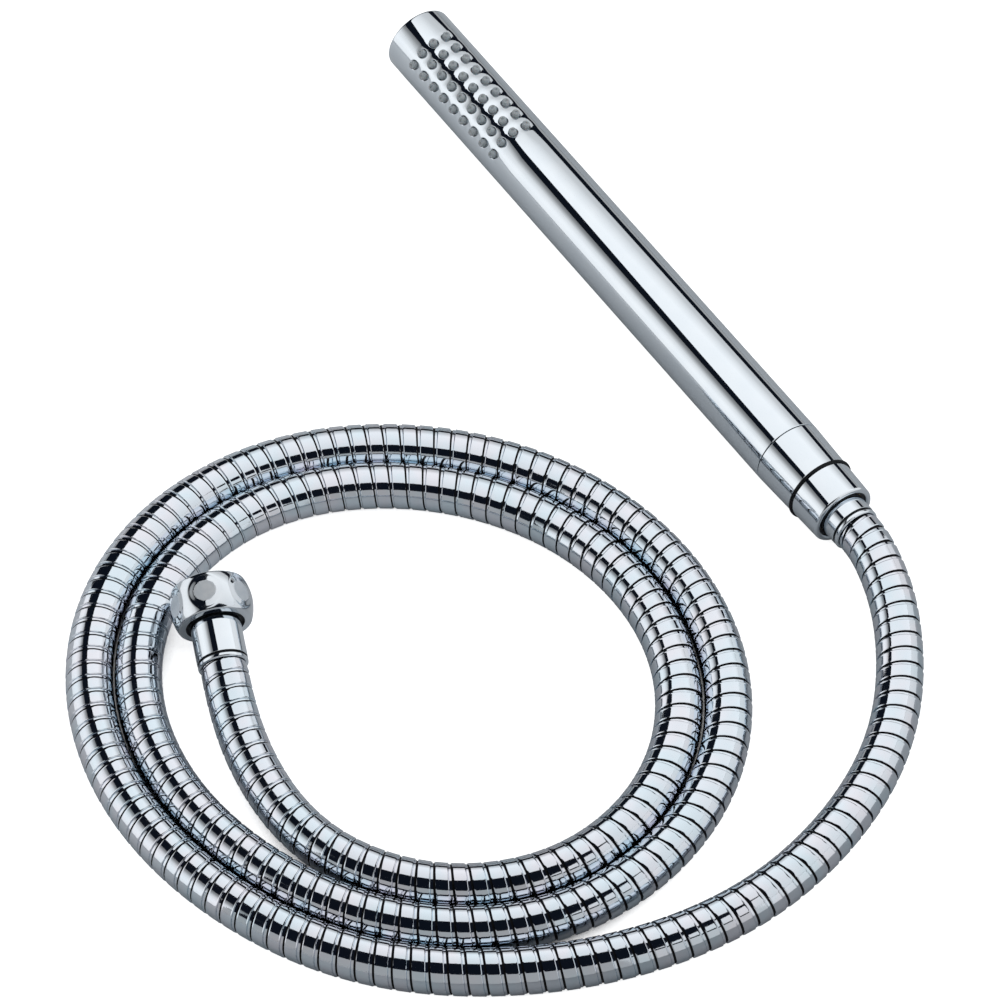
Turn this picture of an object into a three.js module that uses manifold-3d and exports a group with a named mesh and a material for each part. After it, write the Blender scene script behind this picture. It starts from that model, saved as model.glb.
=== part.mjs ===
// A handheld shower head: a slim stick handset on an interlocked metal hose, with the hose's two nuts.
// Millimetres, +Z up. The handset lies along Y with its closed head towards +Y, and rests on Z = 0.
import * as THREE from "three";
import { mergeVertices } from "three/addons/utils/BufferGeometryUtils.js";
import Module from "manifold-3d";

const wasm = await Module();
wasm.setup();

// ---- Driving dimensions ----

// Stations run along the handset's axis, from the head's end (0) towards the hose.
const WAND_R = 12;
const BORE_R = 10.8;
const HEAD_ROUND = 1.5;
const RIM_R = 9.8; // opening in the head's rolled rim
const SEAM_AT = 211.4; // joint between the wand tube and the inlet housing
const COLLAR_END = 227.5;
const COLLAR_END_R = 11.4;
const SPIGOT_END = 235.8; // end of the handset's male thread
const NUT_START = 229.6;
const NUT_END = 241.4;
const HOSE_START = 248.9;
const HEAD_Y = 117.3; // puts Y = 0 near the middle of the handset

const GAP = 0.3; // between pieces that touch or screw together
const SEAL_R = 0.6; // section radius of every O-ring
const SEAL_GROOVE = 1.9; // width of every O-ring groove
const SEAL_GAP = 0.15; // between an O-ring and the faces it seals
const THREAD_MALE_R = 9.75; // G1/2 threads are drawn at their pitch diameter, less the gap
const THREAD_BORE_R = 10.05;
const PLUG_R = BORE_R - GAP; // pieces that fit inside the wand tube

// Spray field: rows of nozzles along the wand, spread around it.
const SPRAY_TURN = THREE.MathUtils.degToRad(25); // from straight up, towards -X
const ROW_TURN = THREE.MathUtils.degToRad(24.4);
const ROWS = 4;
const NOZZLES_PER_ROW = 9;
const FIRST_NOZZLE = 13.3;
const NOZZLE_PITCH = 5.83;
const NOZZLE_R = 1.3;
const NOZZLE_TAPER = 0.85; // size of the tip over the size of the root
const NOZZLE_TIP_R = 13.2; // how far the tips stand from the wand's axis
const ORIFICE_R = 0.45;
const HOLE_R = NOZZLE_R + GAP;
const OVERCUT = 1; // how far a cutter reaches past what it cuts

// Mat behind the holes, and the core that presses it against them.
const MAT_START = 9.3;
const MAT_END = 63.9;
const MAT_HALF_TURN = THREE.MathUtils.degToRad(48);
const MAT_BACK_R = 9;
const CORE_START = 6.5;
const CORE_END = 70;
const CHAMBER_R = 5;
const WINDOW_WIDTH = 11;
const WINDOW_START = MAT_START + 1;
const WINDOW_END = MAT_END - 5;

// Water pipe from the inlet housing to the core.
const PIPE_R = 6;
const PIPE_BORE_R = 4.8;
const SOCKET_R = PIPE_R + GAP;
const SOCKET_GROOVE_R = 7.6;
const CORE_SOCKET = 62;
const INLET_SOCKET_END = 205.1;
const INLET_TOP = 196.8;

// Valve bore in the inlet housing.
const VALVE_BORE_R = 7.8;
const VALVE_R = VALVE_BORE_R - GAP;
const VALVE_BORE_START = 214.8;
const VALVE_START = VALVE_BORE_START + GAP;
const VALVE_END = 228.1;
const VALVE_SEAT_R = 3.5;
const VALVE_SEAT_THICK = 1.8;
const VALVE_WALL = 1.5;
const SPRING_R = 4.2;
const SPRING_WIRE_R = 0.35;
const SPRING_TURNS = 4;

// Hose and its end fittings. Distances at the wall end run from the hose's end towards the nut's mouth.
const HOSE_R = 7.5; // over the crests of the metal strip
const CASING_R = HOSE_R - 0.2; // the plain tube lies just within the crests
const CASING_BORE_R = 6.6;
const LINER_R = 6.1;
const LINER_BORE_R = 4.4;
const FERRULE_R = 8;
const FERRULE_BORE_R = 5.7;
const TAIL_R = 5.4;
const TAIL_BORE_R = 3.5;
const FLANGE_R = 9.7;
const FLANGE_THICK = 1.5;
const TAIL_INSET = 0.8; // from the end of a ferrule to the end of its tail
const WASHER_BORE_R = 5;
const WASHER_THICK = 1.8;
const NUT_R = 11.3;
const WALL_NUT_START = 15;
const WALL_NUT_LENGTH = 13.3;
const WALL_NUT_R = 13;
const WALL_NUT_END_R = 11.8;
const WALL_NUT_FLAT = 12; // distance from the axis to each round flat

// The hose lies in loose turns. These points steer its centre line, from the handset to the wall nut.
const LYING = HOSE_R;
const HOSE_POINTS = [
  [0, HEAD_Y - HOSE_START, WAND_R], [0, -137.5, WAND_R], [-2.2, -147.5, 11.6], [-6.8, -161, 10.3],
  [-16.8, -178.1, 8.8], [-30.3, -194.4, 7.8], [-49.4, -209.3, LYING], [-77, -221.3, LYING],
  [-110.2, -227.2, LYING], [-150.4, -221, LYING], [-189.5, -202, LYING], [-221, -174.2, LYING],
  [-239.9, -135.5, LYING], [-246.6, -93.7, LYING], [-237.8, -52.1, LYING], [-212.1, -16.7, LYING],
  [-172.1, 1.8, LYING], [-129, -0.9, LYING], [-91.5, -22.4, LYING], [-64.6, -55.6, LYING],
  [-51.9, -95.8, LYING], [-56, -139, LYING], [-78.6, -176.1, LYING], [-115.9, -198, LYING],
  [-160.1, -199.9, LYING], [-198, -177.9, LYING], [-221.4, -142.2, LYING], [-231.7, -100.3, LYING],
  [-224.2, -57.2, LYING], [-196.2, -22.8, LYING], [-152.5, -11.3, LYING], [-112.1, -25.4, LYING],
  [-81.3, -56.5, LYING], [-66.6, -96.7, LYING], [-72.1, -140.5, LYING], [-99.6, -174.7, LYING],
  [-143, -187.6, LYING], [-184.2, -171.2, LYING], [-207, -136, LYING], [-206.4, -102.1, 8.2],
  [-200.2, -79.6, 10.4], [-194.1, -65.1, 13.1],
].map(([x, y, z]) => new THREE.Vector3(x, y, z));
const WALL_END = HOSE_POINTS.at(-1);
const WALL_AXIS = new THREE.Vector3(0.381, 0.909, 0.171).normalize(); // out of the wall nut's mouth
const WALL_NUT_TURN = THREE.MathUtils.degToRad(-12); // turns one flat towards +Z and -Y

const SIDES = 24; // round pieces
const NOZZLE_SIDES = 6;
const ORIFICE_SIDES = 4;
const HOSE_STEPS = 76;
const HOSE_SIDES = 8;
const HOSE_LENGTH_SAMPLES = 2000;
const BARREL_SIDES = 36;
const WIRE_SIDES = 5;
const WIRE_STEPS = 10; // in each turn of the spring

// ---- Materials ----

function finish(color, roughness, metalness) {
  return new THREE.MeshStandardMaterial({ color, roughness, metalness });
}

const chrome = finish(0xdfe3e6, 0.06, 1);
const hoseChrome = finish(0xd3d8dc, 0.12, 1);
const silicone = finish(0x8f989e, 0.55, 0);
const blackRubber = finish(0x15161a, 0.35, 0);
const whitePlastic = finish(0xd9dcda, 0.45, 0);
const bluePlastic = finish(0x6a87a5, 0.4, 0);
const brass = finish(0xc7a45a, 0.3, 1);
const springSteel = finish(0xb9bcbf, 0.3, 1);
const linerRubber = finish(0x2b2d2f, 0.6, 0);

// ---- Solids ----

// A closed geometry as a manifold solid.
function solidOf(geometry) {
  const positions = (geometry.index ? geometry.toNonIndexed() : geometry).getAttribute("position");
  const merged = mergeVertices(new THREE.BufferGeometry().setAttribute("position", positions), 1e-4);
  return new wasm.Manifold(new wasm.Mesh({
    numProp: 3,
    vertProperties: merged.attributes.position.array,
    triVerts: new Uint32Array(merged.index.array),
  }));
}

function geometryOf(solid) {
  const { vertProperties, triVerts } = solid.getMesh();
  const geometry = new THREE.BufferGeometry();
  geometry.setAttribute("position", new THREE.BufferAttribute(vertProperties, 3));
  geometry.setIndex(new THREE.BufferAttribute(triVerts, 1));
  const flat = geometry.toNonIndexed();
  flat.computeVertexNormals();
  return flat;
}

// A round piece about Y. The profile lists [radius, y], and closes on itself or starts and ends on the axis.
function turned(profile, sides = SIDES) {
  const points = profile.map(([radius, y]) => new THREE.Vector2(radius, y));
  if (THREE.ShapeUtils.isClockWise(points)) points.reverse();
  if (points[0].x > 0) points.push(points[0].clone());
  return new THREE.LatheGeometry(points, sides);
}

// Points on an arc of a profile, about [radius, y]. Angle 0 points outwards, and 90 degrees along +Y.
function arcPoints([radius, y], size, from, to, steps) {
  return Array.from({ length: steps + 1 }, (_, i) => {
    const angle = THREE.MathUtils.degToRad(from + ((to - from) * i) / steps);
    return [radius + size * Math.cos(angle), y + size * Math.sin(angle)];
  });
}

function ring(innerR, outerR, start, end) {
  return turned([[innerR, start], [outerR, start], [outerR, end], [innerR, end]]);
}

function oRing(centreR, at) {
  return turned(arcPoints([centreR, at], SEAL_R, 30, 330, 5));
}

// A strip curved about Y, centred on the spray direction.
function curvedStrip(innerR, outerR, halfTurn, start, end) {
  const shape = new THREE.Shape();
  const steps = 12;
  const middle = Math.PI / 2 - SPRAY_TURN;
  const at = (radius, turn) => new THREE.Vector2(radius * Math.cos(turn), radius * Math.sin(turn));
  const turns = Array.from({ length: steps + 1 }, (_, i) => middle - halfTurn + (2 * halfTurn * i) / steps);
  shape.setFromPoints([
    ...turns.map((turn) => at(outerR, turn)),
    ...turns.toReversed().map((turn) => at(innerR, turn)),
  ]);
  const strip = new THREE.ExtrudeGeometry(shape, { depth: end - start, bevelEnabled: false });
  return strip.rotateX(Math.PI / 2).translate(0, end, 0);
}

// A round peg that points out of the handset's axis, at each place of the spray field.
function sprayPegs(radius, bottom, top, sides, tipRadius = radius) {
  const peg = new THREE.CylinderGeometry(tipRadius, radius, top - bottom, sides);
  peg.rotateX(Math.PI / 2).translate(0, 0, (bottom + top) / 2);
  const pegs = [];
  for (let row = 0; row < ROWS; row += 1) {
    const turn = SPRAY_TURN + (row - (ROWS - 1) / 2) * ROW_TURN;
    for (let i = 0; i < NOZZLES_PER_ROW; i += 1) {
      pegs.push(solidOf(peg.clone().rotateY(turn).translate(0, FIRST_NOZZLE + i * NOZZLE_PITCH, 0)));
    }
  }
  return wasm.Manifold.union(pegs);
}

// ---- Handset ----

function wandTube() {
  const corner = arcPoints([WAND_R - HEAD_ROUND, HEAD_ROUND], HEAD_ROUND, -90, 0, 4);
  const tube = turned([
    [RIM_R, 0], ...corner, [WAND_R, SEAM_AT - GAP / 2], [BORE_R, SEAM_AT - GAP / 2],
    [BORE_R, HEAD_ROUND], [RIM_R, HEAD_ROUND],
  ]);
  const holes = sprayPegs(HOLE_R, BORE_R - OVERCUT, WAND_R + OVERCUT, NOZZLE_SIDES);
  return geometryOf(solidOf(tube).subtract(holes));
}

const CAP_FACE = 0.5;
const CAP_GROOVE = 3;

function headCap() {
  const bossR = RIM_R - GAP;
  const shoulder = HEAD_ROUND + GAP;
  const grooveR = PLUG_R - SEAL_R * 2;
  return turned([
    [0, CAP_FACE], [bossR, CAP_FACE], [bossR, shoulder], [PLUG_R, shoulder], [PLUG_R, CAP_GROOVE],
    [grooveR, CAP_GROOVE], [grooveR, CAP_GROOVE + SEAL_GROOVE], [PLUG_R, CAP_GROOVE + SEAL_GROOVE],
    [PLUG_R, CORE_START - GAP], [0, CORE_START - GAP],
  ]);
}

const CORE_GROOVE = 66;

function sprayCore() {
  const body = turned([
    [0, CORE_START], [PLUG_R, CORE_START], [PLUG_R, CORE_END], [SOCKET_R, CORE_END],
    [SOCKET_R, CORE_GROOVE + SEAL_GROOVE], [SOCKET_GROOVE_R, CORE_GROOVE + SEAL_GROOVE],
    [SOCKET_GROOVE_R, CORE_GROOVE], [SOCKET_R, CORE_GROOVE], [SOCKET_R, CORE_SOCKET],
    [CHAMBER_R, CORE_SOCKET], [CHAMBER_R, MAT_START], [0, MAT_START],
  ]);
  const pocketEdge = GAP / PLUG_R;
  const pocket = curvedStrip(
    MAT_BACK_R - GAP, WAND_R, MAT_HALF_TURN + pocketEdge, MAT_START - GAP, MAT_END + GAP,
  );
  const window = new THREE.BoxGeometry(WINDOW_WIDTH, WINDOW_END - WINDOW_START, MAT_BACK_R);
  window.translate(0, (WINDOW_START + WINDOW_END) / 2, MAT_BACK_R / 2).rotateY(SPRAY_TURN);
  return geometryOf(solidOf(body).subtract(solidOf(pocket)).subtract(solidOf(window)));
}

function nozzleMat() {
  const strip = curvedStrip(MAT_BACK_R, PLUG_R, MAT_HALF_TURN, MAT_START, MAT_END);
  const root = (MAT_BACK_R + PLUG_R) / 2;
  const nozzles = sprayPegs(NOZZLE_R, root, NOZZLE_TIP_R, NOZZLE_SIDES, NOZZLE_R * NOZZLE_TAPER);
  const orifices = sprayPegs(ORIFICE_R, MAT_BACK_R - OVERCUT, NOZZLE_TIP_R + OVERCUT, ORIFICE_SIDES);
  return geometryOf(solidOf(strip).add(nozzles).subtract(orifices));
}

const INLET_GROOVE = 199.8;
const HOUSING_GROOVE = 204.8;

function inletHousing() {
  const grooveR = PLUG_R - SEAL_R * 2;
  return turned([
    [PLUG_R, INLET_TOP], [PLUG_R, HOUSING_GROOVE], [grooveR, HOUSING_GROOVE],
    [grooveR, HOUSING_GROOVE + SEAL_GROOVE], [PLUG_R, HOUSING_GROOVE + SEAL_GROOVE],
    [PLUG_R, SEAM_AT + GAP / 2], [WAND_R, SEAM_AT + GAP / 2], [COLLAR_END_R, COLLAR_END],
    [THREAD_MALE_R, COLLAR_END], [THREAD_MALE_R, SPIGOT_END], [VALVE_BORE_R, SPIGOT_END],
    [VALVE_BORE_R, VALVE_BORE_START], [PIPE_BORE_R, VALVE_BORE_START],
    [PIPE_BORE_R, INLET_SOCKET_END], [SOCKET_R, INLET_SOCKET_END],
    [SOCKET_R, INLET_GROOVE + SEAL_GROOVE], [SOCKET_GROOVE_R, INLET_GROOVE + SEAL_GROOVE],
    [SOCKET_GROOVE_R, INLET_GROOVE], [SOCKET_R, INLET_GROOVE], [SOCKET_R, INLET_TOP],
  ]);
}

const VALVE_CAVITY_R = 6.2;
const VALVE_CAVITY_START = VALVE_START + VALVE_WALL;
const VALVE_CAVITY_END = VALVE_END - VALVE_SEAT_THICK;
const SPRING_SEAT_HOLE_R = 3.2;
const POPPET_R = 4.9;
const POPPET_THICK = 2;
const POPPET_CHAMFER = 0.6;
const POPPET_END = VALVE_CAVITY_END - GAP;
const STEM_R = 1.2;
const STEM_START = VALVE_CAVITY_START + VALVE_WALL;

function checkValveHousing() {
  return turned([
    [SPRING_SEAT_HOLE_R, VALVE_START], [VALVE_R, VALVE_START], [VALVE_R, VALVE_END],
    [VALVE_SEAT_R, VALVE_END], [VALVE_SEAT_R, VALVE_CAVITY_END], [VALVE_CAVITY_R, VALVE_CAVITY_END],
    [VALVE_CAVITY_R, VALVE_CAVITY_START], [SPRING_SEAT_HOLE_R, VALVE_CAVITY_START],
  ]);
}

function checkValvePoppet() {
  const discStart = POPPET_END - POPPET_THICK;
  return turned([
    [0, STEM_START], [STEM_R, STEM_START], [STEM_R, discStart], [POPPET_R, discStart],
    [POPPET_R, POPPET_END - POPPET_CHAMFER], [POPPET_R - POPPET_CHAMFER, POPPET_END], [0, POPPET_END],
  ]);
}

class Helix extends THREE.Curve {
  constructor(radius, start, end, turns) {
    super();
    Object.assign(this, { radius, start, end, turns });
  }
  getPoint(t, target = new THREE.Vector3()) {
    const angle = 2 * Math.PI * this.turns * t;
    const y = this.start + (this.end - this.start) * t;
    return target.set(this.radius * Math.sin(angle), y, this.radius * Math.cos(angle));
  }
}

function polygon(radius, sides) {
  return Array.from({ length: sides }, (_, i) => {
    const angle = (2 * Math.PI * i) / sides;
    return new THREE.Vector2(radius * Math.cos(angle), radius * Math.sin(angle));
  });
}

function checkValveSpring() {
  const reach = SPRING_WIRE_R + GAP;
  const path = new Helix(
    SPRING_R, VALVE_CAVITY_START + reach, POPPET_END - POPPET_THICK - reach, SPRING_TURNS,
  );
  const wire = new THREE.Shape(polygon(SPRING_WIRE_R, WIRE_SIDES));
  return new THREE.ExtrudeGeometry(wire, { steps: SPRING_TURNS * WIRE_STEPS, extrudePath: path });
}

const LIMITER_START = VALVE_END + GAP;
const LIMITER_END = LIMITER_START + 3;
const LIMITER_HOLE_R = 2;
const LIMITER_CONE_R = 4.5;
const LIMITER_CONE_DEPTH = 1.4;
const SCREEN_START = LIMITER_END + 1;
const SCREEN_END = SCREEN_START + 0.8;
const SCREEN_HOLE_R = 0.8;
const SCREEN_RINGS = [{ count: 6, radius: 2.6 }, { count: 12, radius: 5.2 }];

function flowLimiter() {
  return turned([
    [LIMITER_HOLE_R, LIMITER_START], [VALVE_R, LIMITER_START], [VALVE_R, LIMITER_END],
    [LIMITER_CONE_R, LIMITER_END], [LIMITER_HOLE_R, LIMITER_END - LIMITER_CONE_DEPTH],
  ]);
}

// A disc with a ring of holes inside a ring of holes.
function filterScreen() {
  const disc = turned([[0, SCREEN_START], [VALVE_R, SCREEN_START], [VALVE_R, SCREEN_END], [0, SCREEN_END]]);
  const hole = new THREE.CylinderGeometry(SCREEN_HOLE_R, SCREEN_HOLE_R, 2 * OVERCUT, 5);
  hole.translate(0, (SCREEN_START + SCREEN_END) / 2, 0);
  const holes = [solidOf(hole)];
  for (const { count, radius } of SCREEN_RINGS) {
    for (let i = 0; i < count; i += 1) {
      holes.push(solidOf(hole.clone().translate(radius, 0, 0).rotateY((2 * Math.PI * i) / count)));
    }
  }
  return geometryOf(solidOf(disc).subtract(wasm.Manifold.union(holes)));
}

const RING_START = COLLAR_END + GAP;

function gapRing() {
  const end = NUT_START - GAP;
  const edge = 0.35;
  return turned([
    [THREAD_MALE_R + GAP, RING_START], [WAND_R - edge, RING_START], [WAND_R, RING_START + edge],
    [WAND_R, end - edge], [WAND_R - edge, end], [THREAD_MALE_R + GAP, end],
  ]);
}

// ---- Hose end at the handset ----

const WASHER_START = SPIGOT_END + GAP;
const HANDSET_FLANGE = WASHER_START + WASHER_THICK + GAP;
const HANDSET_FERRULE_START = HANDSET_FLANGE + FLANGE_THICK + GAP;
const HANDSET_FERRULE_END = HOSE_START - GAP;

function handsetNut() {
  const lipRound = 1.8;
  const lipR = 10.8;
  const lip = arcPoints([lipR - lipRound, NUT_END - lipRound], lipRound, 0, 90, 5);
  return turned([
    [THREAD_BORE_R, NUT_START], [NUT_R, NUT_START], ...lip, [FERRULE_R + GAP, NUT_END],
    [FERRULE_R + GAP, HANDSET_FERRULE_START], [THREAD_BORE_R, HANDSET_FERRULE_START],
  ]);
}

function handsetHoseTail() {
  const flangeEnd = HANDSET_FLANGE + FLANGE_THICK;
  const end = HANDSET_FERRULE_END - TAIL_INSET;
  return turned([
    [TAIL_BORE_R, HANDSET_FLANGE], [FLANGE_R, HANDSET_FLANGE], [FLANGE_R, flangeEnd],
    [TAIL_R, flangeEnd], [TAIL_R, end], [TAIL_BORE_R, end],
  ]);
}

// A crimped sleeve with a rolled edge at the hose.
function ferrule(plainEnd, hoseEnd) {
  const along = Math.sign(plainEnd - hoseEnd);
  const at = (distance) => hoseEnd + along * distance;
  const groove = 1.5;
  const edge = 0.4;
  const rollR = FERRULE_R - 0.1;
  const grooveR = FERRULE_R - 0.3;
  return turned([
    [FERRULE_BORE_R, plainEnd], [FERRULE_R, plainEnd], [FERRULE_R, at(groove + edge)],
    [grooveR, at(groove)], [rollR, at(groove - edge)], [rollR, at(edge)], [grooveR, at(0)],
    [FERRULE_BORE_R, at(0)],
  ]);
}

// ---- Hose ----

// A smooth curve steered by its points: it starts at the first and ends at the last.
class SteeredCurve extends THREE.Curve {
  constructor(points) {
    super();
    const before = points[0].clone().multiplyScalar(2).sub(points[1]);
    const after = points.at(-1).clone().multiplyScalar(2).sub(points.at(-2));
    this.points = [before, ...points, after];
    this.spans = points.length - 1;
  }
  getPoint(t, target = new THREE.Vector3()) {
    const span = Math.min(Math.floor(t * this.spans), this.spans - 1);
    const u = t * this.spans - span;
    const weights = [(1 - u) ** 3, 3 * u ** 3 - 6 * u ** 2 + 4, -3 * u ** 3 + 3 * u ** 2 + 3 * u + 1, u ** 3];
    target.set(0, 0, 0);
    weights.forEach((weight, i) => target.addScaledVector(this.points[span + i], weight / 6));
    return target;
  }
}

function hoseTube(outerR, boreR) {
  const section = new THREE.Shape(polygon(outerR, HOSE_SIDES));
  section.holes.push(new THREE.Path(polygon(boreR, HOSE_SIDES)));
  const path = new SteeredCurve(HOSE_POINTS);
  path.arcLengthDivisions = HOSE_LENGTH_SAMPLES;
  return new THREE.ExtrudeGeometry(section, { steps: HOSE_STEPS, extrudePath: path });
}

// ---- Hose end at the wall ----

const WALL_NUT_FLOOR = 1.8; // thickness around the ferrule
const WALL_FERRULE_END = WALL_NUT_START + WALL_NUT_FLOOR;
const WALL_FLANGE = WALL_FERRULE_END + GAP;
const WALL_WASHER_START = WALL_FLANGE + FLANGE_THICK + GAP;
const WALL_WASHER_END = WALL_WASHER_START + WASHER_THICK;

function wallHoseTail() {
  const start = GAP + TAIL_INSET;
  const end = WALL_FLANGE + FLANGE_THICK;
  return turned([
    [TAIL_BORE_R, start], [TAIL_R, start], [TAIL_R, WALL_FLANGE], [FLANGE_R, WALL_FLANGE],
    [FLANGE_R, end], [TAIL_BORE_R, end],
  ]);
}

// A barrel with six flats. Each flat cuts the bulge, so it shows as a round face.
function wallNut() {
  const end = WALL_NUT_START + WALL_NUT_LENGTH;
  const middle = (WALL_NUT_START + end) / 2;
  const edge = 0.5;
  const bulge = Array.from({ length: 9 }, (_, i) => {
    const across = i / 4 - 1;
    const radius = WALL_NUT_R - (WALL_NUT_R - WALL_NUT_END_R) * across ** 2;
    return [radius, middle + across * (WALL_NUT_LENGTH / 2 - edge)];
  });
  const barrel = turned([
    [FERRULE_R + GAP, WALL_NUT_START], [WALL_NUT_END_R - edge, WALL_NUT_START], ...bulge,
    [WALL_NUT_END_R - edge, end], [THREAD_BORE_R, end], [THREAD_BORE_R, WALL_FERRULE_END],
    [FERRULE_R + GAP, WALL_FERRULE_END],
  ], BARREL_SIDES);
  const cornerR = WALL_NUT_FLAT / Math.cos(Math.PI / 6);
  const prism = new THREE.CylinderGeometry(cornerR, cornerR, 2 * WALL_NUT_LENGTH, 6);
  prism.rotateY(Math.PI / 6).translate(0, middle, 0);
  return geometryOf(solidOf(barrel).intersect(solidOf(prism)));
}

// ---- Assembly ----

function piece(name, geometry, material) {
  const mesh = new THREE.Mesh(geometry, material);
  mesh.name = name;
  return mesh;
}

// Inside this group +Y runs from the head's end towards the hose, and +Z is up.
const handset = new THREE.Group();
handset.position.set(0, HEAD_Y, WAND_R);
handset.rotation.z = Math.PI;
handset.add(
  piece("wand_tube", wandTube(), chrome),
  piece("head_cap", headCap(), chrome),
  piece("head_cap_o_ring", oRing(BORE_R - SEAL_R - SEAL_GAP, CAP_GROOVE + SEAL_GROOVE / 2), blackRubber),
  piece("spray_core", sprayCore(), whitePlastic),
  piece("nozzle_mat", nozzleMat(), silicone),
  piece("waterway_pipe", ring(PIPE_BORE_R, PIPE_R, CORE_SOCKET + GAP, INLET_SOCKET_END - GAP), whitePlastic),
  piece("upper_pipe_o_ring", oRing(PIPE_R + SEAL_R + SEAL_GAP, CORE_GROOVE + SEAL_GROOVE / 2), blackRubber),
  piece("lower_pipe_o_ring", oRing(PIPE_R + SEAL_R + SEAL_GAP, INLET_GROOVE + SEAL_GROOVE / 2), blackRubber),
  piece("inlet_housing", inletHousing(), chrome),
  piece("inlet_o_ring", oRing(BORE_R - SEAL_R - SEAL_GAP, HOUSING_GROOVE + SEAL_GROOVE / 2), blackRubber),
  piece("check_valve_housing", checkValveHousing(), bluePlastic),
  piece("check_valve_poppet", checkValvePoppet(), whitePlastic),
  piece("check_valve_spring", checkValveSpring(), springSteel),
  piece("flow_limiter", flowLimiter(), bluePlastic),
  piece("filter_screen", filterScreen(), springSteel),
  piece("gap_ring", gapRing(), blackRubber),
  piece("handset_nut", handsetNut(), chrome),
  piece("handset_washer", ring(WASHER_BORE_R, FLANGE_R, WASHER_START, HANDSET_FLANGE - GAP), blackRubber),
  piece("handset_hose_tail", handsetHoseTail(), brass),
  piece("handset_ferrule", ferrule(HANDSET_FERRULE_START, HANDSET_FERRULE_END), chrome),
);

// Inside this group +Y runs from the hose's end out of the wall nut's mouth.
const wallEnd = new THREE.Group();
wallEnd.position.copy(WALL_END);
wallEnd.quaternion.setFromUnitVectors(new THREE.Vector3(0, 1, 0), WALL_AXIS);
const wallNutMesh = piece("wall_nut", wallNut(), chrome);
wallNutMesh.rotation.y = WALL_NUT_TURN;
wallEnd.add(
  piece("wall_ferrule", ferrule(WALL_FERRULE_END, GAP), chrome),
  piece("wall_hose_tail", wallHoseTail(), brass),
  wallNutMesh,
  piece("wall_washer", ring(WASHER_BORE_R, FLANGE_R, WALL_WASHER_START, WALL_WASHER_END), blackRubber),
);

const showerHead = new THREE.Group();
showerHead.add(
  handset,
  wallEnd,
  piece("hose_casing", hoseTube(CASING_R, CASING_BORE_R), hoseChrome),
  piece("hose_liner", hoseTube(LINER_R, LINER_BORE_R), linerRubber),
);

export default showerHead;
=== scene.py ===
"""A stick hand shower and its metal hose on a pale studio floor.

Metres, +Z up. The handset lies along Y. Outlines are in millimetres and are scaled as they become meshes.
"""

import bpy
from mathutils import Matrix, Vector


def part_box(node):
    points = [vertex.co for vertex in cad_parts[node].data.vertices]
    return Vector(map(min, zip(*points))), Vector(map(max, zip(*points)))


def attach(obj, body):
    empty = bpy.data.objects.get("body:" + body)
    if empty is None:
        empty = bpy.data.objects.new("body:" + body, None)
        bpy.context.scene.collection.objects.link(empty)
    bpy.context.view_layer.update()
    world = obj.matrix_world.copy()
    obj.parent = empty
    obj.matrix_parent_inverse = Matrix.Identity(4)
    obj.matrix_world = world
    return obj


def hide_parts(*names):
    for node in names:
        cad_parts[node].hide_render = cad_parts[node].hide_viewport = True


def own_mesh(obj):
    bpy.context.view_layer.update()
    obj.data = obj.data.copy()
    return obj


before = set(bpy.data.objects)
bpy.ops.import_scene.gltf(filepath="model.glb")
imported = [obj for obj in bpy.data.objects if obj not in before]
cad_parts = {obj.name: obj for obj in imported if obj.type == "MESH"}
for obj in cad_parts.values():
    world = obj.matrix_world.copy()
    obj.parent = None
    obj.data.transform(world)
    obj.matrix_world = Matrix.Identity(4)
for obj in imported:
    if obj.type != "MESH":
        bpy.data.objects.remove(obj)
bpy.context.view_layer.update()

import math

import bmesh
import bpy
import numpy as np
from mathutils import Matrix, Vector

MM = 0.001
FULL_TURN = 2 * math.pi

# ---- Places and sizes taken from the frame ----

wand_low, wand_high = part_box("wand_tube")
HEAD_Y = wand_high[1]
AXIS_Z = (wand_low[2] + wand_high[2]) / 2
WAND_R = (wand_high[0] - wand_low[0]) / 2 / MM
SEAM_AT = (HEAD_Y - wand_low[1]) / MM

# The hose's centre line is steered by the same points as in the CAD model.
LYING = 0.0075
HOSE_POINTS = [
    (0, -0.1316, 0.012), (0, -0.1375, 0.012), (-0.0022, -0.1475, 0.0116), (-0.0068, -0.161, 0.0103),
    (-0.0168, -0.1781, 0.0088), (-0.0303, -0.1944, 0.0078), (-0.0494, -0.2093, LYING),
    (-0.077, -0.2213, LYING), (-0.1102, -0.2272, LYING), (-0.1504, -0.221, LYING),
    (-0.1895, -0.202, LYING), (-0.221, -0.1742, LYING), (-0.2399, -0.1355, LYING),
    (-0.2466, -0.0937, LYING), (-0.2378, -0.0521, LYING), (-0.2121, -0.0167, LYING),
    (-0.1721, 0.0018, LYING), (-0.129, -0.0009, LYING), (-0.0915, -0.0224, LYING),
    (-0.0646, -0.0556, LYING), (-0.0519, -0.0958, LYING), (-0.056, -0.139, LYING),
    (-0.0786, -0.1761, LYING), (-0.1159, -0.198, LYING), (-0.1601, -0.1999, LYING),
    (-0.198, -0.1779, LYING), (-0.2214, -0.1422, LYING), (-0.2317, -0.1003, LYING),
    (-0.2242, -0.0572, LYING), (-0.1962, -0.0228, LYING), (-0.1525, -0.0113, LYING),
    (-0.1121, -0.0254, LYING), (-0.0813, -0.0565, LYING), (-0.0666, -0.0967, LYING),
    (-0.0721, -0.1405, LYING), (-0.0996, -0.1747, LYING), (-0.143, -0.1876, LYING),
    (-0.1842, -0.1712, LYING), (-0.207, -0.136, LYING), (-0.2064, -0.1021, 0.0082),
    (-0.2002, -0.0796, 0.0104), (-0.1941, -0.0651, 0.0131),
]
WALL_AXIS = Vector((0.381, 0.909, 0.171)).normalized()

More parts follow.
